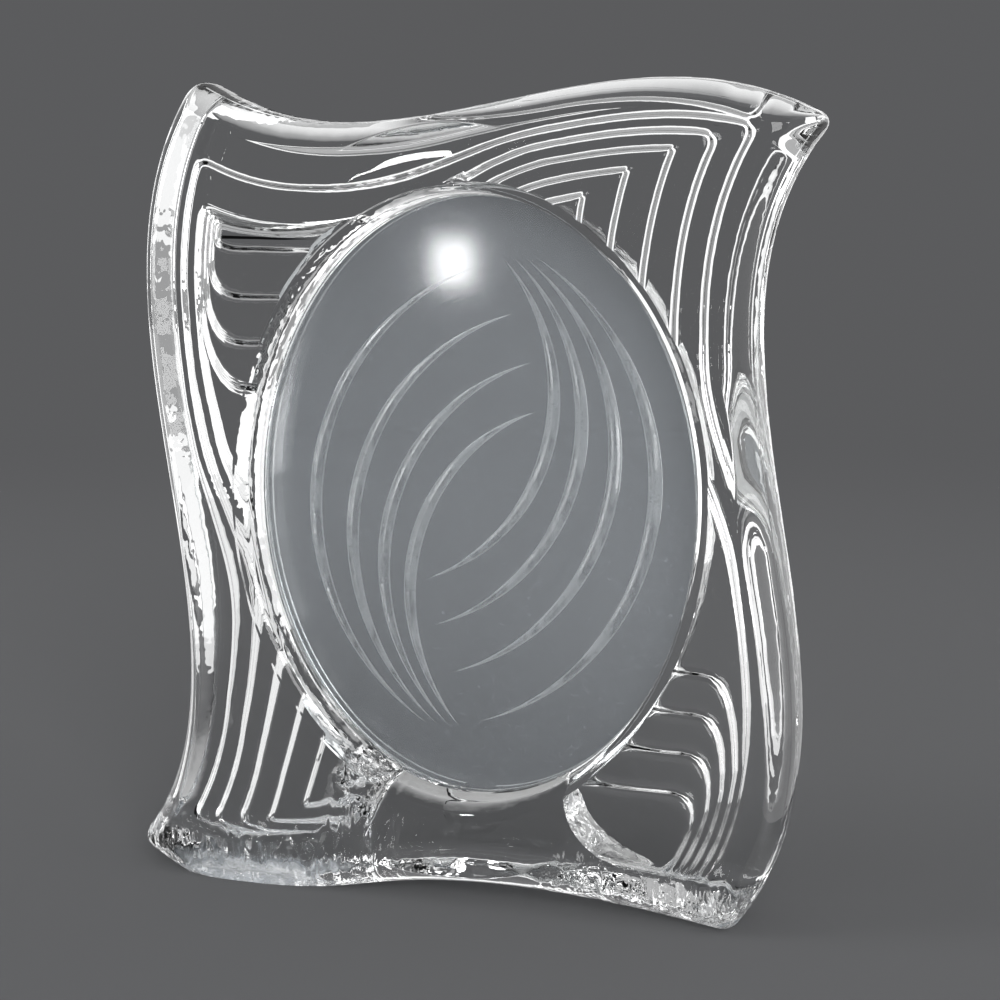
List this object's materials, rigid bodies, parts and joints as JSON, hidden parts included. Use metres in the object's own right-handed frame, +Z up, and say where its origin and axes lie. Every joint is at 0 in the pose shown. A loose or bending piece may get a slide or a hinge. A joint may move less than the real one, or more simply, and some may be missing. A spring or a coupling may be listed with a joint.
{
  "type": "picture frame",
  "caption": "Free-standing pressed-crystal picture frame with a wavy outline, an oval window and a photo pack that lifts out of the back.",
  "frame": {"origin": "on the table, under the middle of the frame", "axes": "+Z up, front of the frame facing -Y, +X to the viewer's right"},
  "size_m": [0.2114, 0.036, 0.2437],
  "materials": {
    "crystal": "fire-polished clear crystal",
    "acetate": "clear sheet, faintly scratched",
    "cut_glass": "clear glass with polished cuts",
    "clear_nylon": "clear, slightly frosted"
  },
  "bodies": {
    "frame": {"crystal_body": "crystal"},
    "sheet": {"cover_sheet": "acetate"},
    "panel": {"back_panel": "cut_glass"},
    "ring": {"retaining_ring": "clear_nylon"}
  },
  "joints": [
    {"name": "panel_slide", "type": "slide", "parent": "frame", "child": "panel", "axis": [0, 1, 0], "range_m": [0, 0.06]},
    {"name": "ring_slide", "type": "slide", "parent": "frame", "child": "ring", "axis": [0, 1, 0], "range_m": [0, 0.09]},
    {"name": "sheet_slide", "type": "slide", "parent": "frame", "child": "sheet", "axis": [0, 1, 0], "range_m": [0, 0.03]}
  ],
  "couplings": [
    {"joint": "ring_slide", "follows": "panel_slide", "ratio": 1.5},
    {"joint": "sheet_slide", "follows": "panel_slide", "ratio": 0.5}
  ]
}
